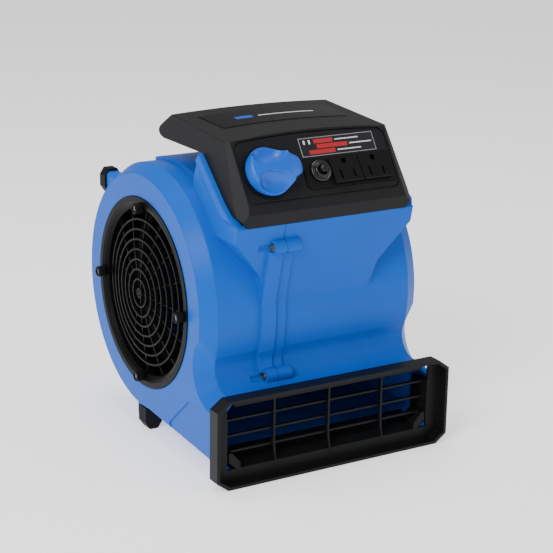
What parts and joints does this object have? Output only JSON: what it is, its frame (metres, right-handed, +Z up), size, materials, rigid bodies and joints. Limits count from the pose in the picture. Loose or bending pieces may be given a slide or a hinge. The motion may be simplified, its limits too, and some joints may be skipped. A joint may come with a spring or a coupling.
{
  "type": "air mover",
  "caption": "Snail shaped carpet dryer blower with a wide outlet, side inlets, carrying handle, speed knob and power outlets on a sloped panel",
  "frame": {"origin": "middle of the rectangle that the machine stands on, at floor level", "axes": "+X across the outlet to the machine's left as it blows, -Y out of the outlet mouth, +Z up"},
  "size_m": [0.2268, 0.262, 0.282],
  "materials": {
    "blue_plastic": "fine satin texture",
    "blue_knob": "satin",
    "black_plastic": "fine leather grain",
    "rubber": "matt",
    "steel": "plated",
    "brass_screw": "plated",
    "motor_steel": "zinc plated",
    "core_steel": "varnished core",
    "fan_plastic": "moulded",
    "cream_plastic": "moulded",
    "capacitor_case": "drawn can",
    "label": "gloss film",
    "gloss_black": "gloss"
  },
  "bodies": {
    "housing": {"housing_left": "blue_plastic", "housing_right": "blue_plastic", "outlet_grille": "black_plastic", "inlet_grille_left": "black_plastic", "inlet_grille_right": "black_plastic", "grille_posts_left": "rubber", "grille_posts_right": "rubber", "grille_screws_left": "steel", "grille_screws_right": "steel", "inlet_cone_left": "black_plastic", "inlet_cone_right": "black_plastic", "upper_feet": "rubber", "lower_feet": "rubber", "control_housing": "black_plastic", "handle_cover": "black_plastic", "control_panel": "black_plastic", "outlet_panel": "black_plastic", "receptacle_left": "black_plastic", "receptacle_right": "black_plastic", "receptacle_bodies": "cream_plastic", "breaker_collar": "gloss_black", "breaker_body": "gloss_black", "dial_ring": "black_plastic", "rotary_switch": "gloss_black", "panel_label": "label", "handle_label": "label", "panel_screws": "steel", "housing_screws": "brass_screw", "motor_shell": "motor_steel", "motor_cap_inner": "motor_steel", "motor_cap_outer": "motor_steel", "motor_stator": "core_steel", "motor_bracket": "motor_steel", "bracket_screws": "steel", "bearing_inner": "steel", "bearing_outer": "steel", "capacitor": "capacitor_case", "capacitor_clip": "steel", "cord_gland": "rubber"},
    "fan": {"motor_shaft": "steel", "motor_rotor": "core_steel", "fan_disc": "fan_plastic", "fan_blades": "fan_plastic", "fan_rings": "fan_plastic", "fan_set_screw": "steel"},
    "knob": {"speed_knob": "blue_knob", "switch_shaft": "steel"},
    "button": {"reset_button": "gloss_black"}
  },
  "joints": [
    {"name": "fan_spin", "type": "hinge", "parent": "housing", "child": "fan", "pos_m": [0, 0.0167, 0.1266], "axis": [1, 0, 0], "continuous": true},
    {"name": "knob_turn", "type": "hinge", "parent": "housing", "child": "knob", "pos_m": [-0.0485, -0.09286, 0.24798], "axis": [0, -0.829, 0.5592], "range_deg": [-270, 0]},
    {"name": "button_press", "type": "slide", "parent": "housing", "child": "button", "axis": [0, 0.829, -0.5592], "range_m": [0, 0.0025], "stiffness_N_per_m": 400, "springref_m": -0.001}
  ]
}
